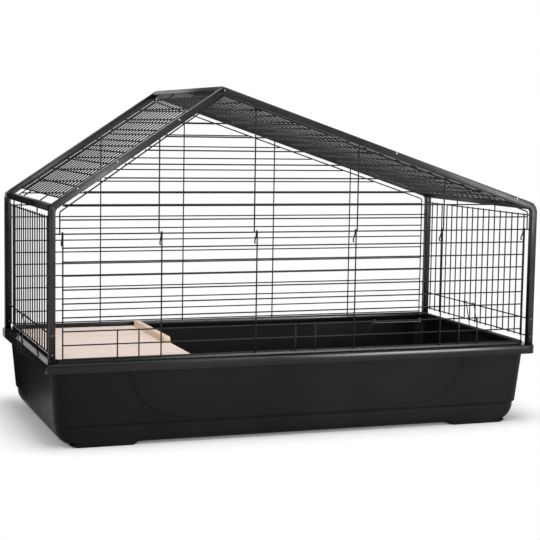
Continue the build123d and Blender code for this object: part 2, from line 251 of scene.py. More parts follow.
class MaterialBench(NodeBench):
    """A new material with its shader, and the textures that a finish is made of."""

    def __init__(self, name: str) -> None:
        """Start a material.

        Args:
            name: Its finish in a maker's words.
        """
        self.material = bpy.data.materials.new(name)
        self.material.use_nodes = True
        super().__init__(self.material.node_tree)
        self.shader = self.tree.nodes["Principled BSDF"]
        self.place = self.add("TexCoord").outputs["Object"]

    def noise(self, scale: float, detail: float, place: Socket | None = None) -> Socket:
        """Add a noise texture in the object's own metres.

        Args:
            scale: Blobs per metre.
            detail: Octaves.
            place: Where it is read, if not at the plain place.

        Returns:
            The socket of its value.
        """
        spot = self.place if place is None else place
        node = self.add("TexNoise", {"Scale": scale, "Detail": detail, "Vector": spot})
        return node.outputs["Fac"]

    def ramp(self, source: Socket, stops: list[tuple[float, Colour]]) -> Socket:
        """Colour a texture.

        Args:
            source: Value of the texture.
            stops: Positions and colours.

        Returns:
            The socket of the colour.
        """
        node = self.add("ValToRGB", {"Fac": source})
        elements = node.color_ramp.elements
        while len(elements) < len(stops):
            elements.new(0.5)
        for element, (place, colour) in zip(elements, stops):
            element.position = place
            element.color = (*colour, 1.0)
        return node.outputs["Color"]

    def span(self, source: Socket, low: float, high: float) -> Socket:
        """Turn a texture into a range of values, such as a roughness.

        Args:
            source: Value of the texture.
            low: Value in its hollows.
            high: Value on its peaks.

        Returns:
            The socket of the value.
        """
        limits = {"From Min": 0.3, "From Max": 0.7, "To Min": low, "To Max": high}
        return self.add("MapRange", {"Value": source, **limits}).outputs["Result"]

    def mix(self, share: object, one: object, two: object, blend: str = "MIX") -> Socket:
        """Mix two colours.

        Args:
            share: Share of the second colour.
            one: First colour.
            two: Second colour.
            blend: How they are mixed.

        Returns:
            The socket of the colour.
        """
        node = self.add("Mix")
        node.data_type = "RGBA"
        node.blend_type = blend
        self.feed(node, {"Factor": share, "A": one, "B": two})
        return node.outputs["Result"]

    def dress(
        self, colour: Socket, roughness: object, metallic: float = 0.0, shine: float = 0.5
    ) -> None:
        """Feed the shader.

        Args:
            colour: Base colour.
            roughness: A value or the socket of one.
            metallic: Share of bare metal.
            shine: Strength of the clear reflection.
        """
        values = {"Base Color": colour, "Roughness": roughness, "Metallic": metallic}
        self.feed(self.shader, {**values, "Specular IOR Level": shine})

    def bump(self, source: Socket, strength: float, distance: float) -> None:
        """Raise the surface by a texture.

        Args:
            source: Value of the texture.
            strength: Share of the relief that shows.
            distance: Height of the relief, in metres.
        """
        node = self.add("Bump", {"Strength": strength, "Distance": distance, "Height": source})
        self.feed(self.shader, {"Normal": node.outputs["Normal"]})


@dataclass(frozen=True)
class PowderCoat:
    """Baked powder paint: dark, satin, with a fine orange peel and faint dust."""

    name: str
    colour: Colour
    roughness: float = 0.38
    shine: float = 0.22
    peel_scale: float = 900.0
    peel_height: float = 0.0006
    dust_scale: float = 26.0

    def make(self) -> bpy.types.Material:
        """Build the finish.

        Returns:
            The material.
        """
        bench = MaterialBench(self.name)
        dust = bench.noise(self.dust_scale, detail=4.0)
        dark = tuple(c * 0.82 for c in self.colour)
        pale = tuple(min(1.0, c * 1.3 + 0.004) for c in self.colour)
        bench.dress(
            colour=bench.ramp(dust, [(0.3, dark), (0.72, pale)]),
            roughness=bench.span(dust, self.roughness - 0.06, self.roughness + 0.08),
            shine=self.shine,
        )
        bench.bump(bench.noise(self.peel_scale, detail=3.0), 0.25, self.peel_height)
        return bench.material


@dataclass(frozen=True)
class MouldedPlastic:
    """Injection-moulded plastic with a fine eroded grain and a painted highlight on sharp edges."""

    name: str
    colour: Colour
    roughness: float = 0.42
    shine: float = 0.08
    grain: float = 0.2
    grain_scale: float = 620.0
    grain_height: float = 0.0003
    flow_scale: float = 5.0
    # Painted highlight on sharp convex edges: where it starts, where it is full, and its share.
    edge_from: float = 0.52
    edge_full: float = 0.62
    edge_highlight_share: float = 0.35

    def make(self) -> bpy.types.Material:
        """Build the finish.

        Returns:
            The material.
        """
        bench = MaterialBench(self.name)
        flow = bench.noise(self.flow_scale, detail=3.0)
        dark = tuple(c * 0.85 for c in self.colour)
        pale = tuple(c * 1.25 + 0.002 for c in self.colour)
        # Sharp convex edges are painted lighter, as a painted highlight.
        painted_edge_highlight = tuple(min(1.0, c * 2.4 + 0.02) for c in self.colour)
        limits = {"From Min": self.edge_from, "From Max": self.edge_full, "To Max": self.edge_highlight_share}
        pointed = bench.add("NewGeometry").outputs["Pointiness"]
        edges = bench.add("MapRange", {"Value": pointed, **limits}).outputs["Result"]
        body = bench.ramp(flow, [(0.3, dark), (0.7, pale)])
        bench.dress(
            colour=bench.mix(edges, body, (*painted_edge_highlight, 1.0)),
            roughness=bench.span(flow, self.roughness - 0.05, self.roughness + 0.07),
            shine=self.shine,
        )
        bench.bump(bench.noise(self.grain_scale, detail=4.0), self.grain, self.grain_height)
        return bench.material


@dataclass(frozen=True)
class SawnWood:
    """Bare pale wood with long grain, pores and a little tone change from board to board."""

    name: str
    light: Colour
    dark: Colour
    along: Point
    plies: bool = False
    grain_scale: float = 3.2
    pore_scale: float = 38.0
    pore_depth: float = 0.0006
    pore_dark: Colour = (0.86, 0.84, 0.82)
    ply_scale: float = 105.0

    def make(self) -> bpy.types.Material:
        """Build the finish.

        Returns:
            The material.
        """
        bench = MaterialBench(self.name)
        stretch = bench.add("Mapping", {"Scale": self.along, "Vector": bench.place})
        place = stretch.outputs["Vector"]
        broad = bench.noise(self.grain_scale, detail=5.0, place=place)
        fine = bench.noise(self.pore_scale, detail=6.0, place=place)
        mid = tuple((a * 2 + b) / 3 for a, b in zip(self.light, self.dark))
        tone = bench.ramp(broad, [(0.25, self.light), (0.55, mid), (0.8, self.dark)])
        pores = bench.ramp(fine, [(0.35, self.pore_dark), (0.62, (1.0, 1.0, 1.0))])
        colour = bench.mix(0.7, tone, pores, "MULTIPLY")
        if self.plies:
            colour = self.add_plies(bench, colour)
        bench.dress(colour=colour, roughness=bench.span(fine, 0.55, 0.72))
        bench.bump(fine, 0.3, self.pore_depth)
        return bench.material

    def add_plies(self, bench: MaterialBench, face: Socket) -> Socket:
        """Show thin layers on the board's edges.

        Args:
            bench: The material.
            face: Colour of the board's broad faces.

        Returns:
            The colour with the layers mixed in where the surface stands upright.
        """
        wave = bench.add(
            "TexWave", {"Scale": self.ply_scale, "Distortion": 0.6, "Vector": bench.place}
        )
        wave.bands_direction = "Z"
        layers = bench.ramp(wave.outputs["Fac"], [(0.3, self.dark), (0.6, self.light)])
        normal = bench.add("NewGeometry").outputs["Normal"]
        rise = bench.add("SeparateXYZ", {"Vector": normal}).outputs["Z"]
        level = bench.reckon("ABSOLUTE", rise)
        mask = bench.add("MapRange", {"Value": level, "From Min": 0.75, "From Max": 0.35})
        return bench.mix(mask.outputs["Result"], face, layers)


@dataclass(frozen=True)
class BrightZinc:
    """Zinc plating on small rivets, with turning marks."""

    name: str = "bright_zinc"
    colour: Colour = (0.62, 0.62, 0.6)
    dull: Colour = (0.3, 0.3, 0.29)
    marks_scale: float = 700.0
    marks_depth: float = 0.0002

    def make(self) -> bpy.types.Material:
        """Build the finish.

        Returns:
            The material.
        """
        bench = MaterialBench(self.name)
        marks = bench.noise(self.marks_scale, detail=3.0)
        bench.dress(
            colour=bench.ramp(marks, [(0.3, self.dull), (0.7, self.colour)]),
            metallic=1.0,
            roughness=bench.span(marks, 0.25, 0.4),
        )
        bench.bump(marks, 0.2, self.marks_depth)
        return bench.material


class Finishes:
    """All finishes of the cage, made once."""

    def __init__(self) -> None:
        """Make every material."""
        tube, wire, clip = (0.005, 0.0052, 0.006), (0.0035, 0.0035, 0.004), (0.008, 0.008, 0.009)
        screw, tray = (0.012, 0.012, 0.013), (0.0036, 0.0038, 0.0044)
        self.tube_paint = PowderCoat("tube_powder_coat", tube, 0.34, shine=0.36).make()
        self.wire_paint = PowderCoat("wire_powder_coat", wire, 0.4).make()
        self.clip_paint = PowderCoat("clip_powder_coat", clip, 0.3, shine=0.6).make()
        self.tray = MouldedPlastic("tray_plastic_grained", tray).make()
        self.rim = MouldedPlastic(
            "tray_plastic_polished", tray, roughness=0.16, shine=0.2, grain=0.03
        ).make()
        birch = ((0.86, 0.72, 0.64), (0.74, 0.59, 0.5))
        pine = ((0.8, 0.64, 0.5), (0.63, 0.46, 0.32))
        self.plywood = SawnWood("birch_plywood", *birch, along=(1.0, 7.0, 1.0), plies=True).make()
        self.batten = SawnWood("pine_batten", *pine, along=(9.0, 0.8, 9.0)).make()
        self.screw_black = PowderCoat("screw_black_zinc", screw, 0.26, shine=0.7).make()
        self.zinc = BrightZinc().make()


@dataclass
class PathPoint:
    """One ring of a swept tube: its centre and the directions of its section."""

    centre: Vector
    across: Vector
    up: Vector


def rounded_route(points: list[Vector], radius: float, steps: int = 6) -> list[Vector]:
    """Round the corners of a route.

    Args:
        points: Corners of the route.
        radius: Radius of each bend.
        steps: Points per bend.

    Returns:
        The points of the rounded route.
    """
    route = [points[0]]
    for before, corner, after in zip(points, points[1:], points[2:]):
        come = (corner - before).normalized()
        go = (after - corner).normalized()
        turn = come.angle(go)
        if turn < 1e-4:
            route.append(corner)
            continue
        reach = radius * math.tan(turn / 2)
        limit = 0.49 * min((corner - before).length, (after - corner).length)
        used = min(reach, limit)
        bend = used / math.tan(turn / 2)
        normal = come.cross(go).normalized()
        enter = corner - come * used
        centre = enter + normal.cross(come) * bend
        for step in range(steps + 1):
            turned = Matrix.Rotation(turn * step / steps, 3, normal) @ (enter - centre)
            route.append(centre + turned)
    route.append(points[-1])
    return route


def rings_along(route: list[Vector], first_up: Vector) -> list[PathPoint]:
    """Carry a section along a route without twist, mitred at each point.

    Args:
        route: Points of the route.
        first_up: A direction that the section's up starts near.

    Returns:
        One ring for each point.
    """
    rings = []
    up = first_up
    for index, point in enumerate(route):
        before = route[max(index - 1, 0)]
        after = route[min(index + 1, len(route) - 1)]
        come = (point - before) if index else (after - point)
        go = (after - point) if index < len(route) - 1 else (point - before)
        come.normalize()
        go.normalize()
        along = (come + go).normalized()
        up = (up - come * up.dot(come)).normalized()
        across = up.cross(come).normalized()
        stretch = 1 / max(along.dot(come), 0.2)
        normal = come.cross(go)
        flat_up = up - along * up.dot(along)
        flat_across = across - along * across.dot(along)
        if normal.length > 1e-5:
            normal.normalize()
            side = normal.cross(along).normalized()
            flat_up = normal * up.dot(normal) + side * up.dot(normal.cross(come)) * stretch
            flat_across = normal * across.dot(normal)
            flat_across += side * across.dot(normal.cross(come)) * stretch
            up = (up - go * up.dot(go)).normalized()
        rings.append(PathPoint(point, flat_across, flat_up))
    return rings


def round_section(radius: float, sides: int = 10) -> list[Spot]:
    """Circle as section points."""
    turn = 2 * math.pi / sides
    return [(radius * math.cos(i * turn), radius * math.sin(i * turn)) for i in range(sides)]


def rounded_corner(x: float, y: float, radius: float, start: float, steps: int) -> list[Spot]:
    """Quarter circle of an outline, anticlockwise.

    Args:
        x: Centre of the circle.
        y: Centre of the circle.
        radius: Its radius.
        start: Its first angle, in degrees.
        steps: Number of short sides.

    Returns:
        Its points.
    """
    angles = [math.radians(start + 90 * step / steps) for step in range(steps + 1)]
    return [(x + radius * math.cos(a), y + radius * math.sin(a)) for a in angles]


def soft_square_section(size: float, corner: float, steps: int = 4) -> list[Spot]:
    """Square with rounded corners as section points.

    Args:
        size: Width of the square.
        corner: Radius of its corners.
        steps: Number of short sides at each corner.

    Returns:
        The points.
    """
    half = size / 2 - corner
    points = []
    for i, j, start in (*CORNERS[1:], CORNERS[0]):
        points += rounded_corner(i * half, j * half, corner, start, steps)
    return points


class MeshShop:
    """Collects welded pieces of one object and turns them into a Blender object."""

    def __init__(self) -> None:
        """Start an empty mesh."""
        self.mesh = bmesh.new()

    def sweep(
        self,
        points: list[Point],
        section: list[Spot],
        bend: float = 0.0,
        up: Point = (0.0, 0.0, 1.0),
        round_ends: float = 0.0,
        cuts: tuple[Vector, Vector] | None = None,
    ) -> None:
        """Sweep a section along a route.

        Args:
            points: Corners in millimetres.
            section: Points of the section, in millimetres.
            bend: Radius of the bends.
            up: Direction that the section's up starts near.
            round_ends: How far the ends are rounded over.
            cuts: Normals of the planes that end the first and the last ring, if not square.
        """
        route = [Vector(p) for p in points]
        if bend:
            route = rounded_route(route, bend)
        rings = rings_along(route, Vector(up))
        loops = [[r.centre + r.across * a + r.up * b for a, b in section] for r in rings]
        for place, normal in zip((0, len(loops) - 1), cuts or ()):
            loops[place] = [self.onto_cut(spot, rings, place, normal) for spot in loops[place]]
        if round_ends:
            loops = self.rounded_ends(loops, rings, round_ends)
        self.skin(loops)

    def skin(self, loops: list[list[Vector | Point]], closed: bool = False) -> None:
        """Join loops of as many points into one skin.

        Args:
            loops: The loops in order, in millimetres.
            closed: True to join the last loop to the first, False to cap both.
        """
        verts = [[self.mesh.verts.new(Vector(p) * MM) for p in loop] for loop in loops]
        pairs = list(zip(verts, verts[1:]))
        if closed:
            pairs.append((verts[-1], verts[0]))
        for one, two in pairs:
            count = len(one)
            for i in range(count):
                j = (i + 1) % count
                face = self.mesh.faces.new((one[i], one[j], two[j], two[i]))
                face.smooth = True
        if not closed:
            self.mesh.faces.new(list(reversed(verts[0])))
            self.mesh.faces.new(verts[-1])

    @staticmethod
    def onto_cut(spot: Vector, rings: list[PathPoint], place: int, normal: Vector) -> Vector:
        """Slide a point along the end run until it lies on the cutting plane.

        Args:
            spot: The point.
            rings: The rings of the tube.
            place: Number of the end ring that the point is on.
            normal: Normal of the cutting plane, which goes through the ring's centre.

        Returns:
            The point on the plane.
        """
        other = 1 if place == 0 else place - 1
        run = (rings[place].centre - rings[other].centre).normalized()
        away = (rings[place].centre - spot).dot(normal) / run.dot(normal)
        return spot + run * away

    @staticmethod
    def rounded_ends(
        loops: list[list[Vector]], rings: list[PathPoint], amount: float, share: float = 0.7
    ) -> list[list[Vector]]:
        """Add a smaller ring at each end, so that cut wire ends look dressed.

        Args:
            loops: The loops of the tube.
            rings: Its rings.
            amount: How far the end loops move in.
            share: Size of the smaller rings.

        Returns:
            The loops with one more at each end.
        """
        first, last = rings[0].centre, rings[-1].centre
        start = (rings[1].centre - first).normalized()
        stop = (rings[-2].centre - last).normalized()
        lead = [first + (v - first) * share for v in loops[0]]
        tail = [last + (v - last) * share for v in loops[-1]]
        loops[0] = [v + start * amount for v in loops[0]]
        loops[-1] = [v + stop * amount for v in loops[-1]]
        return [lead, *loops, tail]

    def prism(self, outline: list[Point], depth: Point) -> None:
        """Raise a flat outline into a block."""
        self.skin([outline, [Vector(p) + Vector(depth) for p in outline]])

    def finish(
        self, name: str, material: bpy.types.Material, soften: float = 0.0
    ) -> bpy.types.Object:
        """Turn the collected mesh into an object.

        Args:
            name: Name of the object.
            material: Its finish.
            soften: Width of the bevel on its sharp edges, in millimetres.

        Returns:
            The new object.
        """
        bmesh.ops.recalc_face_normals(self.mesh, faces=self.mesh.faces)
        data = bpy.data.meshes.new(name)
        self.mesh.to_mesh(data)
        self.mesh.free()
        data.materials.append(material)
        piece = bpy.data.objects.new(name, data)
        bpy.context.scene.collection.objects.link(piece)
        if soften:
            bevel = piece.modifiers.new("soft_edges", "BEVEL")
            bevel.width = soften * MM
            bevel.segments = 3
            bevel.limit_method = "ANGLE"
            bevel.angle_limit = math.radians(35)
            bevel.harden_normals = True
            data.shade_smooth()
        return piece


def seat(piece: bpy.types.Object, body: str, slot: str, *nodes: str) -> bpy.types.Object:
    """Fix a finished piece to its body and let it stand for its frame nodes.

    Args:
        piece: The finished object.
        body: Body that it moves with.
        slot: Not used.
        nodes: Nodes that it stands for.

    Returns:
        The same object.
    """
    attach(piece, body)
    if nodes:
        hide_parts(*nodes)
    LOG.info("%s rides on %s", piece.name, body)
    return piece


@dataclass(frozen=True)
class WallRing:
    """One level line of the tray's wall, as insets from the rim."""

    end_inset: float
    long_inset: float
    height: float
    corner: float
    raised: bool = False
    tuck: float = 0.0

    @classmethod
    def level(cls, row: Row, raised: bool = False) -> "WallRing":
        """Make a ring with one inset on all four walls.

        Args:
            row: Its inset, height and corner radius.
            raised: True where it crosses the raised field.

        Returns:
            The ring.
        """
        inset, height, corner = row
        return cls(inset, inset, height, corner, raised)


def between(one: Row, two: Row, share: float) -> Row:
    """Row that lies a share of the way from one row to another."""
    return tuple(a + (b - a) * share for a, b in zip(one, two))


@dataclass
class Tray:
    """Deep moulded tray with a stepped wall, turned-down lip, bead and corner feet."""

    finishes: Finishes
    half_w: float = 595.0
    half_d: float = 298.0
    floor: float = 5.0
    underside: tuple[float, float] = (200.0, 30.0)
    low_inset: float = 33.0
    low_lean: float = 3.0
    low_corner: float = 34.0
    low_steps: int = 12
    end_round: tuple[float, float] = (32.0, 36.0)
    long_round: float = 15.0
    step_rows: tuple[Row, ...] = (
        (30.3, 45.6, 34.0), (29.9, 46.7, 34.0), (29.2, 47.4, 34.0),
        (26.9, 50.0, 34.0), (26.2, 50.7, 34.0), (25.9, 51.8, 34.0),
    )
    wall_head: Row = (14.6, 186.5, 34.0)
    wall_steps: int = 40
    wall_spread: float = 1.5
    shoulder_rows: tuple[Row, ...] = (
        (14.4, 187.6, 34.0), (14.6, 189.6, 34.0), (15.4, 190.2, 33.0),
        (17.0, 190.2, 31.5), (17.8, 189.6, 31.0), (17.9, 179.2, 31.0),
    )
    inner_foot: Row = (28.9, 52.0, 31.0)
    inner_steps: int = 12
    floor_rows: tuple[Row, ...] = (
        (29.2, 51.0, 31.0), (33.0, 47.0, 31.0), (38.0, 30.0, 31.0), (48.0, 18.0, 31.0),
        (62.0, 10.6, 31.0), (80.0, 8.0, 31.0), (200.0, 8.0, 31.0),
    )
    flange_rows: tuple[Row, ...] = (
        (12.4, 189.0, 32.0), (5.0, 189.0, 14.0), (3.6, 188.6, 13.2), (3.0, 187.4, 13.0),
    )
    lip_rows: tuple[Row, ...] = (
        (3.0, 172.0, 13.0), (2.6, 171.2, 13.2), (2.0, 171.0, 13.6), (1.0, 171.0, 15.0),
        (0.4, 171.3, 15.6), (0.0, 172.0, 16.0), (0.0, 189.6, 16.0), (0.5, 191.1, 15.6),
        (1.6, 191.9, 15.0), (2.6, 192.0, 14.6), (20.2, 192.0, 13.6), (21.1, 192.4, 13.2),
    )
    bead_rows: tuple[Row, ...] = (
        (21.4, 193.2, 13.0), (21.4, 198.2, 13.0), (21.9, 199.4, 12.6), (23.0, 200.0, 12.0),
        (24.4, 200.0, 11.2), (25.5, 199.4, 10.4), (26.0, 198.3, 10.0), (26.0, 182.4, 10.0),
        (25.6, 181.3, 10.4), (24.6, 181.0, 11.0), (19.6, 181.0, 30.0), (18.4, 181.4, 30.5),
        (17.6, 183.0, 31.0), (16.8, 189.0, 31.5),
    )
    corner_steps: int = 10
    short_steps: int = 30
    long_steps: int = 26
    field_steps: int = 60
    relief: float = 2.0
    relief_soft: float = 1.5
    relief_edge: tuple[Spot, ...] = ((1.0, 0.0), (0.4, 0.12), (0.0, 0.5), (-0.4, 0.88), (-1.0, 1.0))
    relief_top: float = 186.0
    relief_fade: float = 8.0
    relief_margin: float = 8.0
    relief_arc: tuple[Spot, ...] = ((412.0, 174.0), (382.0, 105.0), (285.0, 59.0))
    relief_foot: Spot = (150.0, 51.0)
    foot_at: Spot = (459.5, 230.0)
    foot_half: Spot = (77.5, 34.85)
    foot_corner: float = 11.7
    foot_blend: float = 12.0
    foot_levels: tuple[Row, ...] = (
        (0.0, 8.0, 12.0), (1.2, 6.4, 8.0), (4.0, 1.0, 2.5), (6.4, 0.0, 0.0),
    )

    def build(self) -> None:
        """Make the grained shell, the polished rim and the feet."""
        shell = self.walls(self.shell_rings(), False).finish("tray_shell", self.finishes.tray)
        seat(shell, "cage", "tray_plastic", "tray")
        rim = self.walls(self.rim_rings(), True).finish("tray_rim", self.finishes.rim)
        seat(rim, "cage", "tray_plastic")
        self.build_feet()

    def walls(self, rings: list[WallRing], closed: bool) -> MeshShop:
        """Join rings into one skin.

        Args:
            rings: The rings in order.
            closed: True to join the last ring to the first, False to cap both.

        Returns:
            The mesh.
        """
        shop = MeshShop()
        shop.skin([self.ring(r) for r in rings], closed)
        return shop

    def shell_rings(self) -> list[WallRing]:
        """Rings from the middle of the underside, out, up and back in to the inner floor.

        Returns:
            The rings in order.
        """
        inset, corner = self.underside
        rings = [WallRing.level((inset, self.floor, corner)), *self.bottom_rings()]
        rings += [WallRing.level(row) for row in self.step_rows]
        for step in range(1, self.wall_steps):
            share = (step / self.wall_steps) ** self.wall_spread
            rings.append(WallRing.level(between(self.step_rows[-1], self.wall_head, share), True))
        rows = list(self.shoulder_rows)
        for step in range(1, self.inner_steps):
            rows.append(between(self.shoulder_rows[-1], self.inner_foot, step / self.inner_steps))
        return rings + [WallRing.level(row) for row in (*rows, *self.floor_rows)]

    def rim_rings(self) -> list[WallRing]:
        """Rings round the flange, the turned-down lip and the bead."""
        return [WallRing.level(row) for row in (*self.flange_rows, *self.lip_rows, *self.bead_rows)]

    def bottom_rings(self) -> list[WallRing]:
        """Rounded lower edge, broad at the two ends and tight along the front and rear.

        Returns:
            The rings from the underside up.
        """
        reach, rise = self.end_round
        radius = self.long_round
        rings = []
        for step in range(self.low_steps + 1):
            angle = math.pi / 2 * step / self.low_steps
            height = self.floor + rise * (1 - math.cos(angle))
            base = self.low_inset - self.low_lean * (height - self.floor) / rise
            short = max(self.floor + radius - height, 0.0)
            tight = radius - math.sqrt(radius**2 - min(short, radius) ** 2)
            end = base + reach * (1 - math.sin(angle))
            rings.append(WallRing(end, base, height, self.low_corner, tuck=tight))
        return rings

    def ring(self, ring: WallRing) -> list[Point]:
        """Rounded rectangle, with the raised field on the long walls.

        Args:
            ring: The level line.

        Returns:
            The ring's points, anticlockwise from the front right corner.
        """
        half_x, half_y = self.half_w - ring.end_inset, self.half_d - ring.long_inset
        flat_x, flat_y = half_x - ring.corner, half_y - ring.corner
        spots = []
        for i, j, start in CORNERS:
            spots += rounded_corner(i * flat_x, j * flat_y, ring.corner, start, self.corner_steps)
            if i != j:
                share = [2 * step / self.short_steps - 1 for step in range(1, self.short_steps)]
                spots += [(i * half_x, i * flat_y * s) for s in share]
                continue
            for x, lift in self.long_wall(flat_x, ring):
                under = ring.tuck * (1 - self.over_foot(x))
                spots.append((j * x, j * (half_y + lift - under)))
        return [(x, y, ring.height) for x, y in spots]

    def long_wall(self, flat_x: float, ring: WallRing) -> list[Spot]:
        """Places along a long wall, drawn together at the edges of its raised field.

        Args:
            flat_x: Where the wall's flat part ends.
            ring: The level line.

        Returns:
            X from one end to the other, with the height of the field there.
        """
        edge = min(self.field_half(ring.height), flat_x - self.relief_margin)
        full = self.relief if ring.raised else 0.0
        full *= min(max((self.relief_top - ring.height) / self.relief_fade, 0.0), 1.0)
        outer, inner = edge + self.relief_soft, edge - self.relief_soft
        half = [
            (flat_x + (outer - flat_x) * i / self.long_steps, 0.0)
            for i in range(1, self.long_steps)
        ]
        half += [(edge + self.relief_soft * a, full * b) for a, b in self.relief_edge]
        steps = range(1, self.field_steps)
        middle = [(inner - 2 * inner * i / self.field_steps, full) for i in steps]
        return half + middle + [(-x, lift) for x, lift in reversed(half)]

    def over_foot(self, x: float) -> float:
        """Tell how far a place is over a foot.

        Args:
            x: Place along the long wall.

        Returns:
            One where the wall comes straight down into a foot, nought between the feet.
        """
        start = self.foot_at[0] - self.foot_half[0] - self.foot_blend / 2
        share = min(max((abs(x) - start) / self.foot_blend, 0.0), 1.0)
        return share * share * (3 - 2 * share)

    def field_half(self, height: float) -> float:
        """Half width of the raised field, along the circle through its rounded lower corner.

        Args:
            height: Height above the floor.

        Returns:
            The distance from the wall's middle to the field's edge.
        """
        (ax, az), (bx, bz), (cx, cz) = self.relief_arc
        foot_x, foot_z = self.relief_foot
        if height <= cz:
            share = min(max((height - foot_z) / (cz - foot_z), 0.0), 1.0)
            return foot_x + (cx - foot_x) * share
        cross = 2 * (ax * (bz - cz) + bx * (cz - az) + cx * (az - bz))
        aa, bb, cc = ax**2 + az**2, bx**2 + bz**2, cx**2 + cz**2
        mid_x = (aa * (bz - cz) + bb * (cz - az) + cc * (az - bz)) / cross
        mid_z = (aa * (cx - bx) + bb * (ax - cx) + cc * (bx - ax)) / cross
        radius = math.hypot(ax - mid_x, az - mid_z)
        return mid_x + math.sqrt(max(radius**2 - (min(height, az) - mid_z) ** 2, 0.0))

    def build_feet(self) -> None:
        """Make the four pads under the corners."""
        shop = MeshShop()
        for side in Side:
            for face in Face:
                shop.skin([self.foot_outline(side, face, level) for level in self.foot_levels])
        feet = shop.finish("tray_feet", self.finishes.tray, soften=0.8)
        seat(feet, "cage", "tray_plastic")

    def foot_outline(self, side: Side, face: Face, level: Row) -> list[Point]:
        """Level line of one foot.

        Args:
            side: Left or right foot.
            face: Front or rear foot.
            level: Its height, and how far its near and its far end are drawn in.

        Returns:
            The points of the line.
        """
        height, near, far = level
        x, y = side.value * self.foot_at[0], face.value * self.foot_at[1]
        half_x, half_y = self.foot_half
        spots = []
        for i, j, start in CORNERS:
            out_x = i * (half_x - self.foot_corner - (far if i == side.value else near))
            out_y = j * (half_y - self.foot_corner)
            spots += rounded_corner(x + out_x, y + out_y, self.foot_corner, start, steps=6)
        return [(a, b, height) for a, b in spots]


@dataclass
class TubeFrame:
    """Four bent half-frames, ridge beam and eave rails of square tube."""

    sizes: CageSizes
    finishes: Finishes
    corner: float = 2.0
    ridge_turn: float = 45.0

    def build(self) -> None:
        """Make every tube."""
        for face in Face:
            for side in Side:
                self.half_frame(side, face)
        self.rail("ridge_beam", self.sizes.peak(self.sizes.tube / 2), self.ridge_turn)
        for side in Side:
            place = self.sizes.eave_corner(side, self.sizes.tube / 2)
            self.rail(f"eave_rail_{side.name.lower()}", place, 0.0)

    def half_frame(self, side: Side, face: Face) -> None:
        """Make a post and its rafter in one bent tube, mitred at the apex.

        Args:
            side: Left or right half-frame.
            face: Front or rear of the cage.
        """
        size = self.sizes
        node = f"frame_{face.name.lower()}_{side.name.lower()}"
        y = face.value * size.line_y()
        x, z = size.eave_corner(side, size.tube / 2)
        top_x, top_z = size.peak(size.tube / 2)
        shop = MeshShop()
        shop.sweep(
            [(x, y, size.flange), (x, y, z), (top_x, y, top_z)],
            soft_square_section(size.tube, self.corner),
            bend=size.bend + size.tube / 2,
            up=(0.0, 1.0, 0.0),
            cuts=(Vector((0, 0, 1)), self.mitre()),
        )
        piece = shop.finish(f"{node}_tube", self.finishes.tube_paint)
        seat(piece, "cage", "frame_black", node)

    def mitre(self) -> Vector:
        """Find the plane where the two rafters meet.

        Returns:
            Its normal.
        """
        left, right = self.sizes.slope(Side.LEFT), self.sizes.slope(Side.RIGHT)
        up_left = Vector((math.cos(left), 0, math.sin(left)))
        up_right = Vector((-math.cos(right), 0, math.sin(right)))
        return (up_left - up_right).normalized()

    def rail(self, node: str, place: Spot, turn: float) -> None:
        """Make a straight tube from the front frame to the rear one.

        Args:
            node: Node that it stands for.
            place: X and Z of its centre line.
            turn: Turn of its section, in degrees.
        """
        x, z = place
        reach = self.sizes.inner_y()
        angle = math.radians(turn)
        shop = MeshShop()
        shop.sweep(
            [(x, -reach, z), (x, reach, z)],
            soft_square_section(self.sizes.tube, self.corner),
            up=(math.sin(angle), 0.0, math.cos(angle)),
        )
        piece = shop.finish(f"{node}_tube", self.finishes.tube_paint)
        seat(piece, "cage", "frame_black", node)


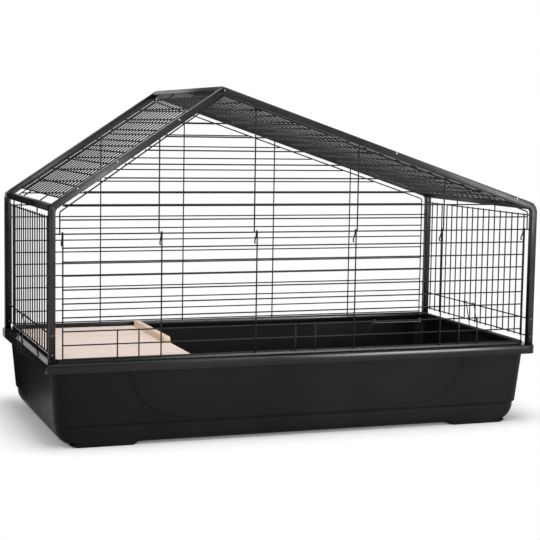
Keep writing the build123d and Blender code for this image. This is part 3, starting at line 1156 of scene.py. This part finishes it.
@dataclass
class Grilles:
    """Fixed wire panels: gable, rear, sides and roof slopes."""

    sizes: CageSizes
    finishes: Finishes
    uprights: tuple[float, ...] = (-345.0, -125.0, 125.0, 345.0)
    side_levels: tuple[float, ...] = (504.0, 254.0, 212.0)
    weld: float = 1.35
    cut_end: float = 0.4
    section_up: Point = (0.13, 0.21, 0.97)
    rear_rows: int = 9
    long_index: int = 5
    ridge_margin: float = 27.0
    eave_margin: float = 40.0
    front_peak_depth: float = 17.0
    front_row_depth: float = 18.0
    cross_pitch: float = 46.0
    perimeter_bend: float = 8.0

    def build(self) -> None:
        """Make the six panels."""
        self.house_panel(Face.FRONT, 0, "gable_grille")
        self.house_panel(Face.REAR, -self.rear_rows, "rear_grille")
        for side in Side:
            self.side_panel(side, f"side_grille_{side.name.lower()}")
            self.roof_panel(side, f"roof_grille_{side.name.lower()}")

    def wire(self, shop: MeshShop, *points: Point, bend: float = 0.0) -> None:
        """Add one round wire to a panel.

        Args:
            shop: The panel's mesh.
            points: Corners of the wire.
            bend: Radius of its bends.
        """
        shop.sweep(
            list(points),
            round_section(self.sizes.wire_radius()),
            bend=bend,
            up=self.section_up,
            round_ends=self.cut_end,
        )

    def welds(self, shop: MeshShop, spots: list[Point]) -> None:
        """Add the small weld at each crossing.

        Args:
            shop: The panel's mesh.
            spots: The crossings.
        """
        for x, y, z in spots:
            made = bmesh.ops.create_icosphere(shop.mesh, subdivisions=1, radius=self.weld * MM)
            bmesh.ops.translate(shop.mesh, verts=made["verts"], vec=Vector((x, y, z)) * MM)

    def house_panel(self, face: Face, first_row: int, node: str) -> None:
        """Make a house-shaped panel: level rows, four uprights and the bent wire round its edge.

        Args:
            face: Front or rear of the cage.
            first_row: Number of its lowest row, counted from the hinge wire up.
            node: Node that it stands for.
        """
        size = self.sizes
        y = face.value * size.line_y()
        outer = y + face.value * size.wire
        inner = y - face.value * size.wire
        shop = MeshShop()
        spots = []
        low = size.hinge - size.wire / 2 if first_row == 0 else size.flange
        peak_x, peak_z = size.peak(
            self.front_peak_depth if face is Face.FRONT else size.slope_depth
        )
        self.wire(
            shop,
            (-size.end_wire_x, outer, low),
            (-size.end_wire_x, outer, size.roof_height(-size.end_wire_x, size.slope_depth)),
            (peak_x, outer, peak_z),
            (size.end_wire_x, outer, size.roof_height(size.end_wire_x, size.slope_depth)),
            (size.end_wire_x, outer, low),
            bend=self.perimeter_bend,
        )
        row = first_row
        while size.hinge + row * size.pitch < peak_z - size.pitch / 2:
            height = size.hinge + row * size.pitch
            left, right = self.reach(height, face)
            if row == 0:
                left, right = -(size.half_w - size.tube), size.half_w - size.tube
            self.wire(shop, (left, y, height), (right, y, height))
            ends = (max(left, -size.end_wire_x), min(right, size.end_wire_x))
            spots += [(x, (y + outer) / 2, height) for x in ends]
            spots += [(x, (y + inner) / 2, height) for x in self.uprights if left < x < right]
            row += 1
        for x in self.uprights:
            self.wire(shop, (x, inner, low), (x, inner, size.roof_height(x, size.tube)))
        self.welds(shop, spots)
        piece = shop.finish(f"{node}_wires", self.finishes.wire_paint)
        seat(piece, "cage", "wire_black", node)

    def reach(self, height: float, face: Face) -> Spot:
        """Ends of a row under the roof edges.

        Args:
            height: Height of the row.
            face: Panel that the row is in.

        Returns:
            X of the left and the right end.
        """
        size = self.sizes
        depth = self.front_row_depth if face is Face.FRONT else size.slope_depth + size.wire / 2
        ends = []
        for side in Side:
            x = side.value * size.end_wire_x
            if height > size.roof_height(x, depth):
                angle = size.slope(side)
                run = (size.apex - height - depth / math.cos(angle)) / math.tan(angle)
                x = size.apex_x + side.value * run
            ends.append(x)
        return ends[0], ends[1]

    def side_panel(self, side: Side, node: str) -> None:
        """Make a side panel: three level wires and close uprights behind them.

        Args:
            side: Left or right end.
            node: Node that it stands for.
        """
        size = self.sizes
        x = side.value * size.line_x()
        inner = side.value * (size.line_x() - size.wire)
        shop = MeshShop()
        spots = []
        places = size.side_places()
        for z in self.side_levels:
            self.wire(shop, (x, -size.inner_y(), z), (x, size.inner_y(), z))
            spots += [((x + inner) / 2, y, z) for y in places]
        under = size.eave_corner(side, size.tube / 2)[1] - size.tube / 2
        for index, y in enumerate(places):
            low, top = self.side_levels[-1] - size.wire, self.side_levels[0] + size.wire
            if index in (self.long_index, len(places) - 1 - self.long_index):
                low, top = size.flange, under
            self.wire(shop, (inner, y, low), (inner, y, top))
        self.welds(shop, spots)
        piece = shop.finish(f"{node}_wires", self.finishes.wire_paint)
        seat(piece, "cage", "wire_black", node)

    def slope_point(self, side: Side, along: float, depth: float) -> Spot:
        """Point on a roof slope.

        Args:
            side: Left or right slope.
            along: Distance down the slope from the apex.
            depth: Distance below the roof edge.

        Returns:
            Its X and Z.
        """
        size = self.sizes
        angle = size.slope(side)
        x = size.apex_x + side.value * (along * math.cos(angle) - depth * math.sin(angle))
        return x, size.apex - along * math.sin(angle) - depth * math.cos(angle)

    def roof_panel(self, side: Side, node: str) -> None:
        """Make a roof panel: close wires down the slope over level cross wires.

        Args:
            side: Left or right slope.
            node: Node that it stands for.
        """
        size = self.sizes
        run = abs(side.value * size.half_w - size.apex_x) / math.cos(size.slope(side))
        span = run - self.ridge_margin - self.eave_margin
        steps = round(span / self.cross_pitch)
        places = size.side_places()
        reach = places[-1] + size.wire / 2
        shop = MeshShop()
        spots = []
        for step in range(steps + 1):
            along = self.ridge_margin + span * step / steps
            x, z = self.slope_point(side, along, size.tube / 2 + size.wire)
            self.wire(shop, (x, -reach, z), (x, reach, z))
            x, z = self.slope_point(side, along, size.tube / 2 + size.wire / 2)
            spots += [(x, y, z) for y in places]
        for index, y in enumerate(places):
            start, end = self.ridge_margin - size.wire, run - self.eave_margin + size.wire
            if index in (self.long_index, len(places) - 1 - self.long_index):
                start, end = size.tube / 2, run - size.tube
            x0, z0 = self.slope_point(side, start, size.tube / 2)
            x1, z1 = self.slope_point(side, end, size.tube / 2)
            self.wire(shop, (x0, y, z0), (x1, y, z1))
        self.welds(shop, spots)
        piece = shop.finish(f"{node}_wires", self.finishes.wire_paint)
        seat(piece, "cage", "wire_black", node)


@dataclass
class Door:
    """Front door of wires that hook over the hinge wire, and its stay."""

    sizes: CageSizes
    finishes: Finishes
    rows: int = 9
    uprights: tuple[float, ...] = (120.0, 340.0, 558.0)
    tail: float = 26.0
    tail_lean: float = 11.0
    foot: float = 2.5
    pair_centre: float = 414.0
    pair_half: float = 24.0
    stay_x: float = 230.0
    stay_half: float = 58.0
    stay_row: int = 7
    stay_wire: float = 2.5
    leg_splay: float = 11.0
    leg_back: float = 30.0
    leg_drop: float = 46.0

    def build(self) -> None:
        """Make the door and its stay."""
        self.build_door()
        self.build_stay()

    def level(self, row: int) -> float:
        """Height of a row below the hinge wire."""
        return self.sizes.hinge - row * self.sizes.pitch

    def build_door(self) -> None:
        """Rows, hooked uprights and pairs of short uprights."""
        size = self.sizes
        y = -size.line_y() - size.gap
        front = y - size.wire
        section = round_section(size.wire_radius())
        shop = MeshShop()
        grilles = Grilles(size, self.finishes)
        spots = []
        reach = self.uprights[-1] + size.wire / 2
        for row in range(1, self.rows + 1):
            grilles.wire(shop, (-reach, y, self.level(row)), (reach, y, self.level(row)))
        wrap = size.wire + size.gap
        outer, inner = -size.line_y() - wrap, -size.line_y() + wrap
        foot = self.level(self.rows) - self.foot
        for x in [i * u for u in self.uprights for i in (-1, 1)]:
            shop.sweep(
                [
                    (x, outer, foot),
                    (x, outer, size.hinge + wrap),
                    (x, inner, size.hinge + wrap),
                    (x, inner, size.hinge - 2 * wrap),
                    (x, inner + self.tail_lean, size.hinge - self.tail + wrap),
                    (x, inner + self.tail_lean / 2, size.hinge - self.tail),
                ],
                section,
                bend=wrap,
                up=(1.0, 0.0, 0.0),
                round_ends=grilles.cut_end,
            )
            spots += [(x, (y + outer) / 2, self.level(r)) for r in range(1, self.rows + 1)]
        low_rows = range(self.rows - 2, self.rows + 1)
        top = self.level(low_rows[0]) + self.foot
        for centre in (-self.pair_centre, 0.0, self.pair_centre):
            for x in (centre - self.pair_half, centre + self.pair_half):
                grilles.wire(shop, (x, front, foot), (x, front, top))
                spots += [(x, (y + front) / 2, self.level(r)) for r in low_rows]
        grilles.welds(shop, spots)
        piece = shop.finish("front_door_wires", self.finishes.wire_paint)
        seat(piece, "door", "door_wire", "front_door")

    def build_stay(self) -> None:
        """Two free legs joined by a bar that wraps one door row."""
        size = self.sizes
        hook = size.wire / 2 + self.stay_wire / 2 + size.gap
        y = -size.line_y() - size.gap
        z = self.level(self.stay_row)
        left, right = self.stay_x - self.stay_half, self.stay_x + self.stay_half
        shop = MeshShop()
        shop.sweep(
            [
                (left - self.leg_splay, y + hook + self.leg_back, z - self.leg_drop),
                (left, y + hook, z - size.wire / 2),
                (left, y + hook, z + hook),
                (left, y - hook, z + hook),
                (left, y - hook, z - hook),
                (right, y - hook, z - hook),
                (right, y - hook, z + hook),
                (right, y + hook, z + hook),
                (right, y + hook, z - size.wire / 2),
                (right + self.leg_splay, y + hook + self.leg_back, z - self.leg_drop),
            ],
            round_section(self.stay_wire / 2),
            bend=hook * 0.7,
            up=(0.3, 1.0, 0.2),
            round_ends=0.4,
        )
        piece = shop.finish("door_stay_wire", self.finishes.clip_paint)
        seat(piece, "stay", "stay_wire", "door_stay")


@dataclass
class SideLatches:
    """Spring wire latches that hold the house down on the tray."""

    sizes: CageSizes
    finishes: Finishes
    wire: float = 2.5
    centre: float = 26.5
    half: float = 21.5
    level: float = 254.0
    standoff: float = 1.6
    rim: float = 595.0
    lip: float = 171.0

    def build(self) -> None:
        """Make both latches."""
        self.latch(Side.LEFT, "latch_l", "latch_left")
        self.latch(Side.RIGHT, "latch_r", "latch_right")

    def latch(self, side: Side, body: str, node: str) -> None:
        """Make one latch: two hooks, two legs and the bar under the lip.

        Args:
            side: Left or right end.
            body: Body that it moves with.
            node: Node that it stands for.
        """
        size = self.sizes
        hook = size.wire / 2 + self.wire / 2 + size.gap
        near = side.value * (size.line_x() - hook)
        outer = side.value * (size.line_x() + size.wire / 2 + self.standoff + self.wire / 2)
        catch = side.value * (self.rim + self.wire / 2 + size.gap)
        knee = size.flange + size.wire + self.wire
        top = self.level + hook
        foot = self.lip - self.wire / 4
        left, right = self.centre - self.half, self.centre + self.half
        half = [
            (near, self.level - size.wire),
            (near, top),
            (outer, top),
            (outer, self.level - size.wire),
            (catch, knee - self.wire),
            (catch, foot),
        ]
        points = [(x, left, z) for x, z in half] + [(x, right, z) for x, z in reversed(half)]
        shop = MeshShop()
        shop.sweep(
            points,
            round_section(self.wire / 2),
            bend=hook * 0.72,
            up=(0.0, 1.0, 0.0),
            round_ends=0.4,
        )
        piece = shop.finish(f"{node}_wire", self.finishes.clip_paint)
        seat(piece, body, "latch_wire", node)


@dataclass
class Shelf:
    """Plywood shelf on two end panels, with a batten along its right edge."""

    finishes: Finishes
    board_corner: float = 12.0
    panel_corner: float = 0.6
    batten_cut: float = 6.0

    def build(self) -> None:
        """Make the four wooden pieces."""
        self.board("shelf_board", self.board_corner)
        self.batten()
        self.board("shelf_panel_left", self.panel_corner)
        self.board("shelf_panel_right", self.panel_corner)

    def board(self, node: str, corner: float) -> None:
        """Make a plywood board with rounded corners and sanded edges, in its node's place.

        Args:
            node: Node that it stands for.
            corner: Radius of its corners, seen from above.
        """
        low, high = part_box(node)
        low, high = low / MM, high / MM
        middle = (low + high) / 2
        half = (high - low) / 2
        spots = []
        for i, j, start in CORNERS:
            x, y = middle.x + i * (half.x - corner), middle.y + j * (half.y - corner)
            spots += rounded_corner(x, y, corner, start, steps=8)
        shop = MeshShop()
        shop.prism([(x, y, low.z) for x, y in spots], (0.0, 0.0, high.z - low.z))
        piece = shop.finish(f"{node}_wood", self.finishes.plywood, soften=0.6)
        seat(piece, "shelf", "plywood", node)

    def batten(self) -> None:
        """Planed batten whose front end is cut at a slant."""
        low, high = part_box("shelf_batten")
        low, high = low / MM, high / MM
        shop = MeshShop()
        shop.prism(
            [
                (low.x, low.y, low.z),
                (low.x, high.y, low.z),
                (low.x, high.y, high.z),
                (low.x, low.y + self.batten_cut, high.z),
                (low.x, low.y, high.z - self.batten_cut),
            ],
            (high.x - low.x, 0.0, 0.0),
        )
        piece = shop.finish("shelf_batten_wood", self.finishes.batten, soften=0.8)
        seat(piece, "shelf", "batten_wood", "shelf_batten")


@dataclass
class Screws:
    """Pan-head screws in the frame's faces."""

    sizes: CageSizes
    finishes: Finishes
    sides: int = 16
    small: float = 0.55
    shape: tuple[Spot, ...] = (
        (0.8, 0.35),
        (0.95, 0.95),
        (1.2, 1.15),
        (2.1, 0.95),
        (2.7, 0.55),
        (3.0, 0.12),
        (3.0, 0.0),
    )
    rafter_x: tuple[float, ...] = (-526.5, -440.4, -304.6, 215.5, 533.3)
    rafter_depth: float = 4.0
    post_levels: tuple[float, ...] = (254.0, 212.0)

    def build(self) -> None:
        """Dress the screws of both faces."""
        for face, node in ((Face.FRONT, "screws_front"), (Face.REAR, "screws_rear")):
            self.row(face, node)

    def places(self) -> list[Spot]:
        """Find the screws of a face: at the apex, on the eave bends and on the posts.

        Returns:
            Their centres, as X and Z.
        """
        size = self.sizes
        spots = [size.peak(size.tube / 2)]
        spots += [size.bend_middle(side) for side in Side]
        for side in Side:
            spots += [(side.value * size.line_x(), z) for z in self.post_levels]
        return spots

    def rafter_places(self) -> list[Spot]:
        """Small rivet centres along the rafters, as X and Z."""
        size = self.sizes
        return [(x, size.roof_height(x, self.rafter_depth)) for x in self.rafter_x]

    def row(self, face: Face, node: str) -> None:
        """Make the black screws at the joints and the small bright rivets along the rafters.

        Args:
            face: Front or rear of the cage.
            node: Node that the screws stand for.
        """
        joints = self.heads(face, self.places(), 1.0)
        piece = joints.finish(f"{node}_heads", self.finishes.screw_black)
        seat(piece, "cage", "screw_steel", node)
        rivets = self.heads(face, self.rafter_places(), self.small)
        piece = rivets.finish(f"rivets_{face.name.lower()}", self.finishes.zinc)
        seat(piece, "cage", "screw_steel")

    def heads(self, face: Face, places: list[Spot], share: float) -> MeshShop:
        """Turned heads with a sunk socket.

        Args:
            face: Face that they stand on.
            places: Their centres, as X and Z.
            share: Size against a full head.

        Returns:
            The mesh with all of them.
        """
        shop = MeshShop()
        turn = 2 * math.pi / self.sides
        sides = range(self.sides)
        for x, z in places:
            loops = []
            for radius, rise in self.shape:
                centre = Vector((x, face.value * (self.sizes.half_d + rise * share), z))
                outs = [Vector((math.cos(i * turn), 0.0, math.sin(i * turn))) for i in sides]
                loops.append([centre + out * radius * share for out in outs])
            shop.skin(loops)
        return shop


@dataclass(frozen=True)
class SoftBox:
    """Square area light aimed at a point, in metres and watts."""

    name: str
    place: Point
    target: Point
    size: float
    power: float

    def build(self) -> None:
        """Hang the light."""
        data = bpy.data.lights.new(self.name, "AREA")
        data.shape = "SQUARE"
        data.size = self.size
        data.energy = self.power
        lamp = bpy.data.objects.new(self.name, data)
        lamp.location = self.place
        aim = Vector(self.target) - Vector(self.place)
        lamp.rotation_euler = aim.to_track_quat("-Z", "Y").to_euler()
        bpy.context.scene.collection.objects.link(lamp)
        LOG.info("%s hung", self.name)


@dataclass
class Studio:
    """Pale floor, white surround, soft lights and the camera, in metres and radians."""

    camera_at: Point = (-1.1586, -3.2437, 0.7035)
    yaw: float = 0.347353
    pitch: float = -0.100719
    roll: float = 0.016183
    lens: float = 93.84
    film: float = 36.0
    sight: float = 60.0
    floor_radius: float = 14.0
    floor_sides: int = 96
    shadow_half: Point = (0.56, 0.26, 0.0)
    shadow_fade: float = 0.2
    near_white: float = 0.12
    flag_at: Point = (-1.66, 0.4, 1.1)
    flag_half: float = 1.1
    flag_tilt: float = math.radians(90)
    flag_turn: float = math.radians(-8)
    surround_light: float = 0.42
    boxes: tuple[SoftBox, ...] = (
        SoftBox("top_soft_box", (-0.1, -0.6, 2.8), (-0.1, 0.0, 0.3), 1.8, 58.0),
        SoftBox("left_soft_box", (-3.2, -1.6, 1.8), (-0.2, 0.0, 0.4), 1.8, 30.0),
        SoftBox("right_soft_box", (0.62, -2.3, 0.74), (-0.1, -0.29, 0.6), 0.6, 11.0),
        SoftBox("low_front_card", (1.45, -2.8, 0.34), (0.3, -0.29, 0.1), 0.6, 38.0),
    )

    def build(self) -> None:
        """Make the surround, the lights and the camera."""
        bpy.context.scene.view_settings.view_transform = "Standard"
        self.floor()
        self.flag()
        self.world()
        for box in self.boxes:
            box.build()
        self.camera()

    def floor(self) -> None:
        """Lay the pale floor, which shows a shadow near the tray and plain white further off."""
        shop = MeshShop()
        bmesh.ops.create_circle(
            shop.mesh, cap_ends=True, segments=self.floor_sides, radius=self.floor_radius
        )
        bench = MaterialBench("studio_floor_paper")
        pale, white = (0.93, 0.93, 0.93), (0.95, 0.95, 0.95)
        paper = bench.ramp(bench.noise(60.0, detail=3.0), [(0.3, pale), (0.7, white)])
        bench.dress(colour=paper, roughness=0.9)
        spread = bench.vector("ABSOLUTE", bench.place).outputs["Vector"]
        outside = bench.vector("SUBTRACT", spread, self.shadow_half).outputs["Vector"]
        clear = bench.vector("MAXIMUM", outside).outputs["Vector"]
        far = bench.vector("LENGTH", clear).outputs["Value"]
        limits = {"From Min": 0.0, "From Max": self.shadow_fade, "To Min": self.near_white}
        fade = bench.add("MapRange", {"Value": far, **limits})
        fade.interpolation_type = "SMOOTHSTEP"
        seen = bench.add("LightPath").outputs["Is Camera Ray"]
        share = bench.reckon("MULTIPLY", seen, fade.outputs["Result"])
        glow = bench.add("Emission", {"Strength": 1.0}).outputs["Emission"]
        mix = bench.add("MixShader", {"Fac": share, 1: bench.shader.outputs["BSDF"], 2: glow})
        bench.feed(bench.tree.nodes["Material Output"], {"Surface": mix.outputs["Shader"]})
        shop.finish("studio_floor", bench.material)
        LOG.info("studio_floor laid")

    def flag(self) -> None:
        """Hang a dark flag at the rear left, out of the picture, that keeps the end wall dark."""
        shop = MeshShop()
        bmesh.ops.create_grid(shop.mesh, x_segments=8, y_segments=8, size=self.flag_half)
        bench = MaterialBench("studio_flag_cloth")
        dark, pale = (0.01, 0.01, 0.01), (0.02, 0.02, 0.02)
        weave = bench.ramp(bench.noise(300.0, detail=2.0), [(0.3, dark), (0.7, pale)])
        bench.dress(colour=weave, roughness=1.0)
        flag = shop.finish("studio_flag", bench.material)
        flag.location = self.flag_at
        flag.rotation_euler = (self.flag_tilt, 0.0, self.flag_turn)
        flag.visible_camera = False
        flag.visible_shadow = False
        flag.visible_diffuse = False
        LOG.info("studio_flag hung")

    def world(self) -> None:
        """Make the surround white to the camera and to reflections, and soft grey as light."""
        world = bpy.data.worlds.new("studio_surround")
        world.use_nodes = True
        bpy.context.scene.world = world
        bench = NodeBench(world.node_tree)
        rays = bench.add("LightPath").outputs
        direct = bench.reckon("MAXIMUM", rays["Is Camera Ray"], rays["Is Transmission Ray"])
        seen = bench.reckon("MAXIMUM", direct, rays["Is Glossy Ray"])
        level = bench.add("MapRange", {"Value": seen, "To Min": self.surround_light})
        light = {"Color": (1.0, 1.0, 1.0, 1.0), "Strength": level.outputs["Result"]}
        bench.feed(bench.tree.nodes["Background"], light)

    def camera(self) -> None:
        """Set the camera at the photograph's place and angle."""
        data = bpy.data.cameras.new("studio_camera")
        data.lens = self.lens
        data.sensor_width = self.film
        data.sensor_fit = "HORIZONTAL"
        data.clip_end = self.sight
        camera = bpy.data.objects.new("studio_camera", data)
        cos_y, sin_y = math.cos(self.yaw), math.sin(self.yaw)
        cos_p, sin_p = math.cos(self.pitch), math.sin(self.pitch)
        ahead = Vector((sin_y * cos_p, cos_y * cos_p, sin_p))
        right = Vector((cos_y, -sin_y, 0.0))
        up = right.cross(ahead)
        cos_r, sin_r = math.cos(self.roll), math.sin(self.roll)
        side = right * cos_r + up * sin_r
        top = up * cos_r - right * sin_r
        turn = Matrix((side, top, -ahead)).transposed().to_4x4()
        camera.matrix_world = Matrix.Translation(Vector(self.camera_at)) @ turn
        bpy.context.scene.collection.objects.link(camera)
        bpy.context.scene.camera = camera


def main() -> None:
    """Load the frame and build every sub-assembly in order."""
    logging.basicConfig(level=logging.INFO)
    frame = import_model()
    LOG.info("frame with %d nodes", len(frame["nodes"]))
    sizes = CageSizes()
    finishes = Finishes()
    for assembly in (
        Tray(finishes),
        TubeFrame(sizes, finishes),
        Grilles(sizes, finishes),
        Door(sizes, finishes),
        SideLatches(sizes, finishes),
        Shelf(finishes),
        Screws(sizes, finishes),
        Studio(),
    ):
        assembly.build()
        LOG.info("built %s", type(assembly).__name__)


if __name__ == "__main__":
    main()
